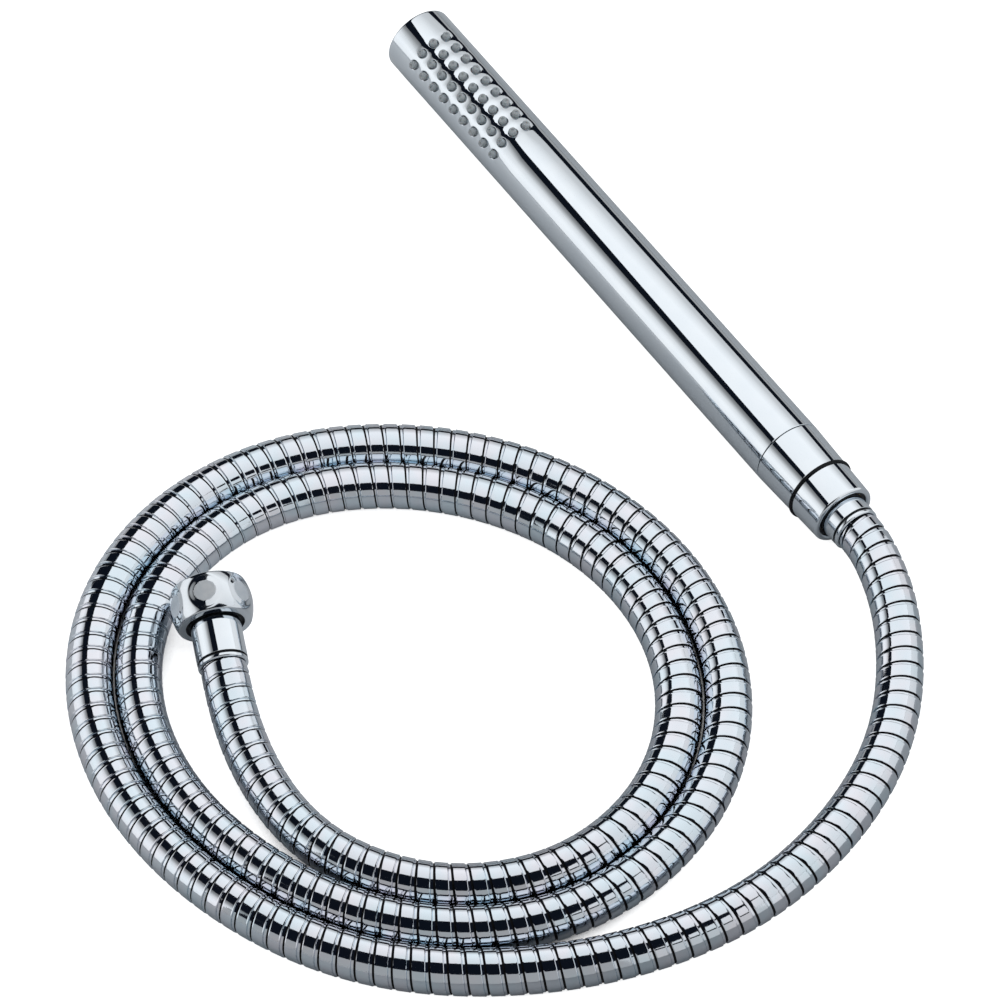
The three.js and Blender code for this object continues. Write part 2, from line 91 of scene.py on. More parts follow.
# Local frames: +Y runs from the head's end towards the hose, and from the hose's end out of the wall nut.
HANDSET = Matrix.Translation((0, HEAD_Y, AXIS_Z)) @ Matrix.Rotation(math.pi, 4, "Z")
TO_WALL = Vector((0, 1, 0)).rotation_difference(WALL_AXIS).to_matrix().to_4x4()
WALL_END = Matrix.Translation(HOSE_POINTS[-1]) @ TO_WALL

# ---- Camera ----

LOOK_AT = Vector((-0.081, -0.0506, 0))
CAMERA_AZIMUTH = math.radians(-34.17)
CAMERA_ELEVATION = math.radians(52.6)
CAMERA_DISTANCE = 2.167
CAMERA_LENS = 245.5
CAMERA_SENSOR = 36

# The studio's frame, on the floor: X to the camera's right, Y away from it.
STUDIO = Matrix.Translation(LOOK_AT) @ Matrix.Rotation(CAMERA_AZIMUTH, 4, "Z")


def add_camera():
    data = bpy.data.cameras.new("camera")
    data.lens = CAMERA_LENS
    data.sensor_width = CAMERA_SENSOR
    camera = bpy.data.objects.new("camera", data)
    bpy.context.collection.objects.link(camera)
    tilt = Matrix.Rotation(math.pi / 2 - CAMERA_ELEVATION, 4, "X")
    camera.matrix_world = STUDIO @ tilt @ Matrix.Translation((0, 0, CAMERA_DISTANCE))
    bpy.context.scene.camera = camera


# ---- Materials ----


def noise(tree, scale, detail=4):
    """Noise over the object's own space, which is in metres."""
    place = tree.nodes.new("ShaderNodeTexCoord")
    texture = tree.nodes.new("ShaderNodeTexNoise")
    texture.inputs["Scale"].default_value = scale
    texture.inputs["Detail"].default_value = detail
    tree.links.new(place.outputs["Object"], texture.inputs["Vector"])
    return texture.outputs["Fac"]


def drift_colour(tree, shader, tones, scale):
    ramp = tree.nodes.new("ShaderNodeValToRGB")
    for element, position, tone in zip(ramp.color_ramp.elements, (0.35, 0.65), tones):
        element.position = position
        element.color = (*tone, 1)
    tree.links.new(noise(tree, scale), ramp.inputs["Fac"])
    tree.links.new(ramp.outputs["Color"], shader.inputs["Base Color"])


def drift_roughness(tree, shader, gloss, scale):
    spread = tree.nodes.new("ShaderNodeMapRange")
    spread.inputs["From Min"].default_value = 0.3
    spread.inputs["From Max"].default_value = 0.7
    spread.inputs["To Min"].default_value = gloss[0]
    spread.inputs["To Max"].default_value = gloss[1]
    tree.links.new(noise(tree, scale), spread.inputs["Value"])
    tree.links.new(spread.outputs["Result"], shader.inputs["Roughness"])


def add_relief(tree, shader, strength, scale, depth=0.0001):
    bump = tree.nodes.new("ShaderNodeBump")
    bump.inputs["Strength"].default_value = strength
    bump.inputs["Distance"].default_value = depth
    tree.links.new(noise(tree, scale), bump.inputs["Height"])
    tree.links.new(bump.outputs["Normal"], shader.inputs["Normal"])


def material(name, tones, gloss, metallic=0.0, tone_scale=120, relief=0.05, relief_scale=900, **sockets):
    """Colour drifts between two tones and roughness between two values, over a fine relief."""
    made = bpy.data.materials.new(name)
    made.use_nodes = True
    tree = made.node_tree
    shader = tree.nodes["Principled BSDF"]
    shader.inputs["Metallic"].default_value = metallic
    for socket, value in sockets.items():
        shader.inputs[socket.replace("_", " ")].default_value = value
    drift_colour(tree, shader, tones, tone_scale)
    drift_roughness(tree, shader, gloss, relief_scale / 3)
    add_relief(tree, shader, relief, relief_scale)
    return made


METAL = 1.0
CHROME = material(
    "polished_chrome", [(0.77, 0.83, 0.885), (0.795, 0.85, 0.9)], (0.03, 0.05), METAL, relief=0.01,
)
HOSE_CHROME = material(
    "rolled_chrome_strip", [(0.67, 0.77, 0.84), (0.755, 0.765, 0.825)], (0.04, 0.09), METAL,
    tone_scale=90, relief=0.04, relief_scale=1500,
)
NUT_CHROME = material(
    "satin_chrome", [(0.69, 0.745, 0.8), (0.74, 0.785, 0.83)], (0.05, 0.1), METAL, relief=0.04,
)
FROSTED_CHROME = material(
    "frosted_chrome", [(0.7, 0.75, 0.8), (0.78, 0.82, 0.86)], (0.4, 0.5), METAL, tone_scale=400, relief=0.3,
)
# Near-black painted shade, laid on recesses and grooves where shade falls in them.
PAINTED_RECESS_SHADE = material(
    "painted_recess_shade", [(0.03, 0.034, 0.04), (0.05, 0.054, 0.06)], (0.4, 0.6), 0.5,
    relief=0.1, Specular_IOR_Level=0.3,
)
SILICONE = material(
    "grey_silicone", [(0.35, 0.39, 0.42), (0.41, 0.44, 0.465)], (0.35, 0.5), relief=0.25,
    Subsurface_Weight=0.05,
)
BLACK_RUBBER = material(
    "black_rubber", [(0.002, 0.003, 0.004), (0.004, 0.005, 0.007)], (0.16, 0.26), relief=0.03,
    Specular_IOR_Level=0.14,
)
# The liner's own black rubber. Where it shows between the strip's turns, its near-black also stands as
# painted shade in the grooves.
LINER_RUBBER_AND_GROOVE_SHADE = material(
    "liner_rubber", [(0.004, 0.004, 0.005), (0.008, 0.008, 0.01)], (0.5, 0.7), relief=0.3,
    Specular_IOR_Level=0.15,
)
WHITE_PLASTIC = material(
    "white_plastic", [(0.66, 0.67, 0.66), (0.71, 0.72, 0.7)], (0.35, 0.5), relief=0.15,
)
BLUE_PLASTIC = material(
    "blue_plastic", [(0.11, 0.21, 0.36), (0.14, 0.25, 0.41)], (0.25, 0.4), relief=0.1,
)
BRASS = material(
    "turned_brass", [(0.52, 0.35, 0.12), (0.6, 0.41, 0.15)], (0.18, 0.32), METAL, relief=0.1,
)
STEEL = material(
    "spring_steel", [(0.45, 0.46, 0.47), (0.52, 0.53, 0.54)], (0.2, 0.35), METAL, relief=0.1,
)

# ---- Meshes ----


def add_piece(name, bm, surface, slot, body, *nodes, crease=25):
    """Makes an object from a bmesh, with edges sharper than crease degrees left crisp."""
    bmesh.ops.remove_doubles(bm, verts=bm.verts, dist=1e-6)
    bmesh.ops.recalc_face_normals(bm, faces=bm.faces)
    for face in bm.faces:
        face.smooth = True
    for edge in bm.edges:
        edge.smooth = edge.calc_face_angle(0) < math.radians(crease)
    mesh = bpy.data.meshes.new(name)
    bm.to_mesh(mesh)
    bm.free()
    mesh.materials.append(surface)
    piece = bpy.data.objects.new(name, mesh)
    bpy.context.collection.objects.link(piece)
    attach(piece, body)
    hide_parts(*nodes)
    return piece


def paint(piece, surface, chosen):
    """Gives another surface to the faces whose centres pass a test."""
    index = len(piece.data.materials)
    piece.data.materials.append(surface)
    for face in piece.data.polygons:
        if chosen(face.center):
            face.material_index = index


ROUNDING_SHARE = 0.38  # the most of a side that the rounding of one corner may take
HOLD = 1.3  # where the points that hold the straights lie, in cuts from the corner


def round_corner(before, corner, after, size, steps=3):
    """Points that round one corner of an outline, with one more on each side to hold the straights."""
    back = before - corner
    ahead = after - corner
    cut = min(size, ROUNDING_SHARE * back.length, ROUNDING_SHARE * ahead.length)
    if cut == 0:
        return [corner]
    start = corner + back.normalized() * cut
    end = corner + ahead.normalized() * cut
    points = [corner + back.normalized() * cut * HOLD]
    for k in range(steps + 1):
        t = k / steps
        points.append(start * (1 - t) ** 2 + corner * 2 * t * (1 - t) + end * t**2)
    return points + [corner + ahead.normalized() * cut * HOLD]


def rounded(outline, size=0.15):
    """A closed outline with its corners rounded, but not on the axis. A corner may bring its own size."""
    corners = [Vector(point[:2]) for point in outline]
    points = []
    for i, point in enumerate(outline):
        on_axis = point[0] == 0
        own = point[2] if len(point) > 2 else size
        following = corners[(i + 1) % len(corners)]
        points += round_corner(corners[i - 1], corners[i], following, 0 if on_axis else own)
    return points


def local_point(place, radius, y, turn):
    """A point at that radius and distance along a local frame, turned from its +Z towards its +X."""
    return place @ Vector((radius * math.sin(turn) * MM, y * MM, radius * math.cos(turn) * MM))


def local_coordinates(place, point):
    """The radius, distance along and turn of a point in a local frame."""
    local = place.inverted() @ point / MM
    return math.hypot(local.x, local.z), local.y, math.atan2(local.x, local.z)


def bridge(bm, rows):
    """Quads between rows of vertices, each of which closes on itself."""
    for row, following in zip(rows, rows[1:]):
        for corners in zip(row, row[1:] + row[:1], following[1:] + following[:1], following):
            bm.faces.new(corners)


def add_grid(bm, rows):
    """Quads between rows of points. Each row closes on itself, and so do the rows."""
    made = [[bm.verts.new(point) for point in row] for row in rows]
    bridge(bm, made + made[:1])


def add_open_sheet(bm, rows):
    """Quads between rows of points that close on nothing."""
    made = [[bm.verts.new(point) for point in row] for row in rows]
    for row, following in zip(made, made[1:]):
        for corners in zip(row, row[1:], following[1:], following):
            bm.faces.new(corners)


def add_capped_tube(bm, rows):
    """Quads between rows of points that close on themselves, and a face at each end."""
    made = [[bm.verts.new(point) for point in row] for row in rows]
    bridge(bm, made)
    bm.faces.new(made[0])
    bm.faces.new(made[-1])


def even_turns(count):
    return [FULL_TURN * k / count for k in range(count)]


def turned(name, outline, place, surface, slot, body, *nodes, segments=96):
    """A round piece from its outline of (radius, distance along)."""
    bm = bmesh.new()
    turns = even_turns(segments)
    add_grid(bm, [[local_point(place, r, y, turn) for turn in turns] for r, y in rounded(outline)])
    bmesh.ops.dissolve_degenerate(bm, edges=bm.edges, dist=1e-7)
    return add_piece(name, bm, surface, slot, body, *nodes)


# ---- Hose ----


def hose_line(steps_per_span=24):
    """Points on the hose's centre line: a uniform cubic B-spline through its first and last points."""
    points = np.array(HOSE_POINTS)
    points = np.vstack([2 * points[0] - points[1], points, 2 * points[-1] - points[-2]])
    line = []
    for i in range(len(points) - 3):
        for k in range(steps_per_span):
            u = k / steps_per_span
            weights = [(1 - u) ** 3, 3 * u**3 - 6 * u**2 + 4, -3 * u**3 + 3 * u**2 + 3 * u + 1, u**3]
            line.append(np.array(weights) / 6 @ points[i : i + 4])
    line.append(points[-2])
    return np.array(line)


class HoseFrame:
    """Places points around the hose's centre line."""

    def __init__(self, line):
        self.line = line
        steps = np.linalg.norm(np.diff(line, axis=0), axis=1)
        self.at = np.concatenate([[0], np.cumsum(steps)])
        self.length = self.at[-1]
        self.along = np.gradient(line, self.at, axis=0)
        self.along /= np.linalg.norm(self.along, axis=1)[:, None]
        self.bend = np.gradient(self.along, self.at, axis=0)

    def blend(self, values, s):
        """Values given along the line, read at each distance s."""
        return np.stack([np.interp(s, self.at, values[:, k]) for k in range(3)], axis=1)

    def axes(self, s):
        along = self.blend(self.along, s)
        along /= np.linalg.norm(along, axis=1)[:, None]
        side = np.cross(along, (0, 0, 1))
        side /= np.linalg.norm(side, axis=1)[:, None]
        return side, np.cross(side, along)

    def outward(self, s, turn):
        """Unit vectors away from the line. The turn grows by the right hand about its direction."""
        side, up = self.axes(s)
        return up * np.cos(turn)[:, None] + side * np.sin(turn)[:, None]

    def stretch(self, s, turn, radius):
        """How much longer the hose is at that side than on its centre line."""
        return 1 - radius * np.sum(self.outward(s, turn) * self.blend(self.bend, s), axis=1)

    def around(self, s, turn, radius):
        """Points at that radius from the line."""
        return self.blend(self.line, s) + self.outward(s, turn) * radius


# One pitch of the wound strip as (distance along, radius): a narrow sunk ring, a raised lip, a wide band,
# and back along the inside. The gap up to the next turn shows the near-black liner, which stands as painted
# shade in the groove.
PITCH = 5.5
STRIP = [
    (0.52, 7.0), (0.52, 7.1), (1.14, 7.14), (1.2, 7.04), (1.32, 7.42), (1.46, 7.48), (1.68, 7.42),
    (1.82, 7.42), (5.0, 7.42), (5.14, 7.42), (5.38, 7.34), (5.46, 7.0),
]
BAND_START = 4  # first point of STRIP on the wide band
SIDES = 28
STRIP_END_R = 7.1
LINER_R = 6.95
LINER_BORE_R = 4.4
LINER_SIDES = 16
LINER_STATIONS = 420


def strip_place(at, on_band, stretch):
    """Where a point of the strip lies in its pitch. The band keeps its width, the ring takes the rest."""
    band_start, band_end = STRIP[BAND_START][0], STRIP[-1][0]
    middle = (band_start + band_end) / 2
    if on_band:
        return middle + (at - middle) / stretch
    start = middle + (band_start - middle) / stretch
    end = middle + (band_end - middle) / stretch - PITCH
    return end + (at + PITCH - band_end) / (band_start + PITCH - band_end) * (start - end)


def strip_points(hose):
    """Rows of strip outlines along the helix."""
    pitches = round(hose.length / (PITCH * MM))
    pitch = hose.length / pitches
    step = np.arange((pitches + 1) * SIDES)
    turn = FULL_TURN * step / SIDES
    start = (step / SIDES - 1) * pitch
    columns = []
    for index, (at, radius) in enumerate(STRIP):
        rough = np.clip(start + at * MM, 0, hose.length)
        stretch = hose.stretch(rough, turn, radius * MM)
        s = start + strip_place(at, index >= BAND_START, stretch) * pitch / PITCH
        inside = (s > 0) & (s < hose.length)
        radii = np.where(inside, radius, STRIP_END_R) * MM
        columns.append(hose.around(np.clip(s, 0, hose.length), turn, radii[:, None]))
    return np.stack(columns, axis=1)


def add_hose(hose):
    bm = bmesh.new()
    add_capped_tube(bm, strip_points(hose))
    return add_piece("hose_strip", bm, HOSE_CHROME, "hose_chrome", "hose", "hose_casing", crease=22)


def add_liner(hose):
    stations = np.linspace(0, hose.length, LINER_STATIONS)
    turns = np.array(even_turns(LINER_SIDES))
    outside = [(LINER_R, s) for s in stations]
    inside = [(LINER_BORE_R, s) for s in stations[::-1]]
    bm = bmesh.new()
    add_grid(bm, [
        hose.around(np.full(LINER_SIDES, s), turns, radius * MM) for radius, s in outside + inside
    ])
    return add_piece("hose_inner_tube", bm, LINER_RUBBER_AND_GROOVE_SHADE, "liner_rubber", "hose", "hose_liner")


# ---- Perforated head ----

SPRAY_TURN = math.radians(25)
ROW_TURN = math.radians(24.4)
ROWS = 4
NOZZLES_PER_ROW = 9
FIRST_NOZZLE = 13.3
NOZZLE_PITCH = 5.83
NOZZLES = [
    (SPRAY_TURN + (row - (ROWS - 1) / 2) * ROW_TURN, FIRST_NOZZLE + i * NOZZLE_PITCH)
    for row in range(ROWS)
    for i in range(NOZZLES_PER_ROW)
]

# The field is the part of the tube with the holes. It is a grid of cells, one around each nozzle.
CELL_STEPS = 8  # quads along each side of a cell
CELL_HALF_WIDTH = ROW_TURN / 2 * WAND_R
CELL_HALF_LENGTH = NOZZLE_PITCH / 2
FIELD_TURN = SPRAY_TURN - ROWS * ROW_TURN / 2
FIELD_START = FIRST_NOZZLE - CELL_HALF_LENGTH
FIELD_COLUMNS = ROWS * CELL_STEPS
FIELD_STATIONS = [
    FIELD_START + NOZZLE_PITCH * k / CELL_STEPS for k in range(NOZZLES_PER_ROW * CELL_STEPS + 1)
]

TUBE_BORE_R = WAND_R - 1.2
RIM_R = 9.8
RIM_END = 1.5
RIM_ROUND = 1.9
PLAIN_STATIONS = [70, 100, 140, 180]
HOLE_R = 1.6
DIMPLE_DEPTH = 0.24
DIMPLE_REACH = (1.3, 3.9)
MAT_FACE_R = 10.5
MAT_BACK_R = 9.0


def dimple(turn, y):
    """How far the tube's face is pressed in around the nearest holes."""
    depth = 0
    for nozzle_turn, nozzle_y in NOZZLES:
        away = math.hypot((turn - nozzle_turn) * WAND_R, y - nozzle_y)
        t = (away - DIMPLE_REACH[0]) / (DIMPLE_REACH[1] - DIMPLE_REACH[0])
        t = min(max(t, 0), 1)
        depth += DIMPLE_DEPTH * (1 - t * t * (3 - 2 * t))
    return min(depth, DIMPLE_DEPTH)


def cell_border():
    """Points around a cell as fractions of its half size, starting at one corner."""
    side = [2 * k / CELL_STEPS - 1 for k in range(CELL_STEPS)]
    near = [(a, -1) for a in side]
    right = [(1, a) for a in side]
    far = [(-a, 1) for a in side]
    left = [(-1, -a) for a in side]
    return near + right + far + left


def cell_ring(nozzle, away, radius, pressed):
    """Points around a nozzle at a distance from its axis, or on its cell's border where that is None."""
    turn, y = nozzle
    points = []
    for across, along in cell_border():
        a, b = across * CELL_HALF_WIDTH, along * CELL_HALF_LENGTH
        reach = 1 if away is None else away / math.hypot(a, b)
        point_turn, point_y = turn + a * reach / WAND_R, y + b * reach
        sunk = dimple(point_turn, point_y) if pressed else 0
        points.append(local_point(HANDSET, radius - sunk, point_y, point_turn))
    return points


def add_cell(bm, nozzle, rings, dimpled=False):
    """Joins rings of (distance, radius) around a nozzle, and returns the last.

    Where dimpled, the rings outside the tube's bore are pressed in.
    """
    rows = []
    for away, radius in rings:
        pressed = dimpled and radius > TUBE_BORE_R
        rows.append([bm.verts.new(point) for point in cell_ring(nozzle, away, radius, pressed)])
    bridge(bm, rows)
    return rows[-1]


def field_columns():
    """Turns of the tube's columns: even ones across the field, and even ones around the rest."""
    rest = FULL_TURN - ROWS * ROW_TURN
    count = round(rest / ROW_TURN * CELL_STEPS)
    turns = [FIELD_TURN + ROW_TURN * k / CELL_STEPS for k in range(FIELD_COLUMNS)]
    return turns + [FIELD_TURN + ROWS * ROW_TURN + rest * k / count for k in range(count)]


def tube_outline():
    """The tube's section: its rolled end, its outer face, its plain end and its bore."""
    edge, past_edge = Vector((WAND_R, 0)), Vector((WAND_R, 8))
    rolled_end = round_corner(Vector((RIM_R, 0)), edge, past_edge, RIM_ROUND, steps=8)
    outer = FIELD_STATIONS + PLAIN_STATIONS + [SEAM_AT - 0.3, SEAM_AT - 0.12]
    inner = [SEAM_AT, 180, 100] + FIELD_STATIONS[::-1] + [RIM_END]
    outline = [Vector((RIM_R + 0.15, 0.02))] + rolled_end
    outline += [Vector((WAND_R, y)) for y in outer]
    outline += [Vector((WAND_R - 0.04, SEAM_AT - 0.04)), Vector((WAND_R - 0.12, SEAM_AT))]
    outline += [Vector((TUBE_BORE_R, y)) for y in inner]
    return outline + [Vector((RIM_R, RIM_END)), Vector((RIM_R, 0.2))]


def in_field(y):
    """Whether that distance is among the field's stations, for a distance in single precision."""
    slack = 1e-6
    return FIELD_STATIONS[0] - slack < y < FIELD_STATIONS[-1] + slack


def add_tube_rows(bm):
    """The whole tube apart from the cells of its field, on both faces."""
    outline = tube_outline()
    turns = field_columns()
    rows = []
    for radius, y in outline:
        dimpled = radius > TUBE_BORE_R + 0.5
        depths = [dimple(turn, y) if dimpled else 0 for turn in turns]
        points = [local_point(HANDSET, radius - depth, y, turn) for turn, depth in zip(turns, depths)]
        rows.append([bm.verts.new(point) for point in points])
    for k, row in enumerate(rows):
        j = (k + 1) % len(rows)
        following = rows[j]
        first = FIELD_COLUMNS if in_field(outline[k].y) and in_field(outline[j].y) else 0
        for c in range(first, len(turns)):
            d = (c + 1) % len(turns)
            bm.faces.new((row[c], row[d], following[d], following[c]))


def add_wand_tube():
    bm = bmesh.new()
    add_tube_rows(bm)
    # Rings from the cell's border to the hole's rounded edge, through the wall, and back to the border.
    rings = [(None, WAND_R), (2.35, WAND_R), (2.1, WAND_R), (1.9, WAND_R), (1.78, WAND_R - 0.02)]
    rings += [(1.7, WAND_R - 0.06), (1.63, WAND_R - 0.14), (HOLE_R, WAND_R - 0.26)]
    rings += [(HOLE_R, TUBE_BORE_R), (1.9, TUBE_BORE_R), (None, TUBE_BORE_R)]
    for nozzle in NOZZLES:
        add_cell(bm, nozzle, rings, dimpled=True)
    return add_piece("wand_tube_shell", bm, CHROME, "chrome", "handset", "wand_tube", crease=32)


def add_mat_edges(bm, turns):
    """The four narrow faces that join the mat's face to its back."""
    stations = FIELD_STATIONS
    border = [(stations[0], turn) for turn in turns]
    border += [(y, turns[-1]) for y in stations[1:]]
    border += [(stations[-1], turn) for turn in turns[-2::-1]]
    border += [(y, turns[0]) for y in stations[-2:0:-1]]
    for (y0, t0), (y1, t1) in zip(border, border[1:] + border[:1]):
        corners = [(MAT_FACE_R, y0, t0), (MAT_FACE_R, y1, t1), (MAT_BACK_R, y1, t1), (MAT_BACK_R, y0, t0)]
        bm.faces.new([bm.verts.new(local_point(HANDSET, *corner)) for corner in corners])


def add_nozzle_mat():
    """A curved sheet with a rounded nozzle in each cell, dimpled at its outlet."""
    rings = [(None, MAT_FACE_R), (1.7, MAT_FACE_R), (1.5, MAT_FACE_R + 0.05), (1.38, MAT_FACE_R + 0.25)]
    rings += [(1.33, 11.6), (1.28, 12.6), (1.2, 12.9), (1.05, 13.09), (0.85, 13.18), (0.6, 13.2)]
    rings += [(0.46, 13.16), (0.38, 13.06), (0.34, 12.85)]
    bm = bmesh.new()
    for nozzle in NOZZLES:
        bm.faces.new(add_cell(bm, nozzle, rings))
    turns = [FIELD_TURN + ROW_TURN * k / CELL_STEPS for k in range(FIELD_COLUMNS + 1)]
    add_open_sheet(bm, [
        [local_point(HANDSET, MAT_BACK_R, y, turn) for turn in turns] for y in FIELD_STATIONS
    ])
    add_mat_edges(bm, turns)
    return add_piece("nozzle_mat_surface", bm, SILICONE, "silicone", "handset", "nozzle_mat", crease=40)


# ---- Round pieces ----

# Distances along the handset from its closed end, in millimetres.
COLLAR_START = SEAM_AT + 0.3
COLLAR_END = 227.95
GAP_RING_START = 228
GAP_RING_END = 229.1
CONE_START = 229.15
SPIGOT_END = 235.8
BEAD_AT = 240.4
SLEEVE_START = 240
SLEEVE_END = 248.6

BEAD_R = 9.9
BEAD_POINTS = 13
SPIGOT_R = 9.75
VALVE_BORE_R = 7.8
PIPE_BORE_R = 6.3
O_RING_SEAT_R = 7.6
INLET_PLUG_R = 10.5
INLET_SEAT_R = 9.3
COLLAR_R = 12
COLLAR_END_R = 11.4
FERRULE_BORE_R = 5.7
HOSE_TAIL_BORE_R = 3.5
HOSE_TAIL_R = 5.4
FLANGE_R = 9.7
SEAL_BORE_R = 5
NUT_THROAT_R = 8.15
NUT_BORE_R = 10.05


def add_head_cap():
    outline = [
        (0, 0.5), (8.9, 0.5, 0.3), (9.5, 0.9, 0.2), (9.5, 1.8), (10.5, 1.8), (10.5, 3), (9.3, 3),
        (9.3, 4.9), (10.5, 4.9), (10.5, 6.2), (0, 6.2),
    ]
    turned("head_cap_disc", outline, HANDSET, CHROME, "chrome", "handset", "head_cap")


def add_inlet_housing():
    """The collar, its plug with an O-ring groove inside the tube, and its spigot for the cone nut."""
    plug = [
        (INLET_PLUG_R, 196.8), (INLET_PLUG_R, 204.8), (INLET_SEAT_R, 204.8), (INLET_SEAT_R, 206.7),
        (INLET_PLUG_R, 206.7), (INLET_PLUG_R, COLLAR_START),
    ]
    collar = [(COLLAR_R, COLLAR_START, 0.12), (COLLAR_END_R, COLLAR_END, 0.15)]
    spigot = [(SPIGOT_R, COLLAR_END), (SPIGOT_R, SPIGOT_END), (VALVE_BORE_R, SPIGOT_END)]
    bore = [
        (VALVE_BORE_R, 214.8), (4.8, 214.8), (4.8, 205.1), (PIPE_BORE_R, 205.1), (PIPE_BORE_R, 201.7),
        (O_RING_SEAT_R, 201.7), (O_RING_SEAT_R, 199.8), (PIPE_BORE_R, 199.8), (PIPE_BORE_R, 196.8),
    ]
    outline = plug + collar + spigot + bore
    turned("inlet_collar", outline, HANDSET, CHROME, "chrome", "handset", "inlet_housing")


def add_gap_ring():
    outline = [
        (NUT_BORE_R, GAP_RING_START), (11.9, GAP_RING_START, 0.45), (11.9, GAP_RING_END, 0.45),
        (NUT_BORE_R, GAP_RING_END),
    ]
    turned("gap_ring_rubber", outline, HANDSET, BLACK_RUBBER, "black_rubber", "handset", "gap_ring")


def add_handset_nut():
    """A cone with a rolled lip of 1 mm radius, and painted shade on the recess inside the lip."""
    outline = [(NUT_BORE_R, CONE_START), (11.3, CONE_START, 0.15)]
    half_turn = np.linspace(0, math.pi, BEAD_POINTS)
    outline += [(BEAD_R + math.cos(a), BEAD_AT + math.sin(a), 0) for a in half_turn]
    outline += [(8.7, 240.35), (NUT_THROAT_R, 240.35), (NUT_THROAT_R, 240.05), (NUT_BORE_R, 240.05)]
    nut = turned("cone_nut", outline, HANDSET, CHROME, "chrome", "handset_nut", "handset_nut")

    def in_shaded_recess(centre):
        radius, y, _ = local_coordinates(HANDSET, centre)
        return radius < 9.0 and y < BEAD_AT + 0.5

    # The recess inside the lip is painted near-black as painted shade.
    paint(nut, PAINTED_RECESS_SHADE, in_shaded_recess)
    return nut


def ferrule_outline(plain_end, hose_end):
    """A crimped sleeve with a groove and a rolled edge at the hose."""
    step = math.copysign(1, plain_end - hose_end)
    groove = [(7.3, hose_end + 2.0 * step, 0.05), (7.3, hose_end + 1.5 * step, 0.05)]
    rolled_edge = [
        (7.95, hose_end + 1.3 * step, 0.2), (7.95, hose_end + 0.4 * step, 0.25), (7.5, hose_end, 0.15),
    ]
    return [
        (FERRULE_BORE_R, plain_end), (8, plain_end), (8, hose_end + 2.15 * step, 0.12),
        *groove, *rolled_edge, (FERRULE_BORE_R, hose_end),
    ]


def add_ferrule(name, plain_end, hose_end, place, node):
    ferrule = turned(name, ferrule_outline(plain_end, hose_end), place, CHROME, "chrome", "hose", node)

    def in_shaded_groove(centre):
        radius, y, _ = local_coordinates(place, centre)
        return 6.5 < radius < 7.7 and 1.3 < abs(y - hose_end) < 2.2

    # The groove is painted near-black as painted shade.
    paint(ferrule, PAINTED_RECESS_SHADE, in_shaded_groove)
    return ferrule


def add_fittings():
    """The pieces at both ends of the hose, apart from its nuts."""
    brass = (BRASS, "brass", "hose")
    rubber = (BLACK_RUBBER, "black_rubber", "hose")
    tail = [
        (HOSE_TAIL_BORE_R, 238.2), (FLANGE_R, 238.2), (FLANGE_R, 239.7), (HOSE_TAIL_R, 239.7),
        (HOSE_TAIL_R, 247.8), (HOSE_TAIL_BORE_R, 247.8),
    ]
    wall_tail = [
        (HOSE_TAIL_BORE_R, 1.1), (HOSE_TAIL_R, 1.1), (HOSE_TAIL_R, 17.1), (FLANGE_R, 17.1),
        (FLANGE_R, 18.6), (HOSE_TAIL_BORE_R, 18.6, 0.4),
    ]
    seal = [(SEAL_BORE_R, 236.1), (FLANGE_R, 236.1), (FLANGE_R, 237.9), (SEAL_BORE_R, 237.9)]
    wall_seal = [(SEAL_BORE_R, 18.9), (FLANGE_R, 18.9), (FLANGE_R, 20.7), (SEAL_BORE_R, 20.7)]
    return [
        add_ferrule("handset_sleeve", SLEEVE_START, SLEEVE_END, HANDSET, "handset_ferrule"),
        turned("handset_tail", tail, HANDSET, *brass, "handset_hose_tail"),
        turned("handset_seal", seal, HANDSET, *rubber, "handset_washer"),
        add_ferrule("wall_sleeve", 16.8, 0.3, WALL_END, "wall_ferrule"),
        turned("wall_tail", wall_tail, WALL_END, *brass, "wall_hose_tail"),
        turned("wall_seal", wall_seal, WALL_END, *rubber, "wall_washer"),
    ]


# ---- Wall nut ----

# Distances along the wall nut are from the hose's end, in millimetres.
NUT_START = 15
NUT_END = 28.3
NUT_MIDDLE = (NUT_START + NUT_END) / 2
NUT_FLOOR = 16.8
NUT_FLAT = 12
NUT_TURN = math.radians(-12)
BARREL_R = 13
BARREL_CROWN = 1.2
EDGE_BLEND = 0.12
BOSS_R = 3.5
BOSS_SLOPE = 0.25
BOSS_HEIGHT = 0.25
BOSS_FOOT_R = 5.1
RECESS_R = 9.25
BARREL_START = 15.5
BARREL_LENGTH = 12.3
BARREL_ROWS = 50
THREAD_PITCH = 1.814
THREAD_R = (9.35, 10.4)
THREAD_SLOPE = 1.6
THREAD_START = 27.7
THREAD_STEP = 0.26
THREAD_ROWS = 26
NUT_COLUMNS = 240


def flat_offset(turn):
    """The turn from the middle of the nearest flat."""
    between_flats = math.pi / 3
    return (turn - NUT_TURN + between_flats / 2) % between_flats - between_flats / 2


def from_flat_middle(turn, y):
    return math.hypot(NUT_FLAT * math.tan(flat_offset(turn)), y - NUT_MIDDLE)


def nut_radius(y, turn):
    """A barrel cut by six flats, each with a shallow round boss."""
    across = (y - NUT_MIDDLE) / (NUT_MIDDLE - NUT_START - 0.5)
    barrel = BARREL_R - BARREL_CROWN * across**2
    drop = (min(max(from_flat_middle(turn, y), BOSS_R), BOSS_FOOT_R) - BOSS_R) * BOSS_SLOPE
    flat = (NUT_FLAT + BOSS_HEIGHT - drop) / math.cos(flat_offset(turn))
    mix = min(max(0.5 + (barrel - flat) / (2 * EDGE_BLEND), 0), 1)
    return flat * mix + barrel * (1 - mix) - EDGE_BLEND * mix * (1 - mix)


def thread_radius(y, turn):
    """A helical groove with sloping flanks and a flat root."""
    crest, root = THREAD_R
    phase = (y / THREAD_PITCH + turn / FULL_TURN) % 1
    return crest + (root - crest) * min(1, THREAD_SLOPE * (1 - abs(2 * phase - 1)))


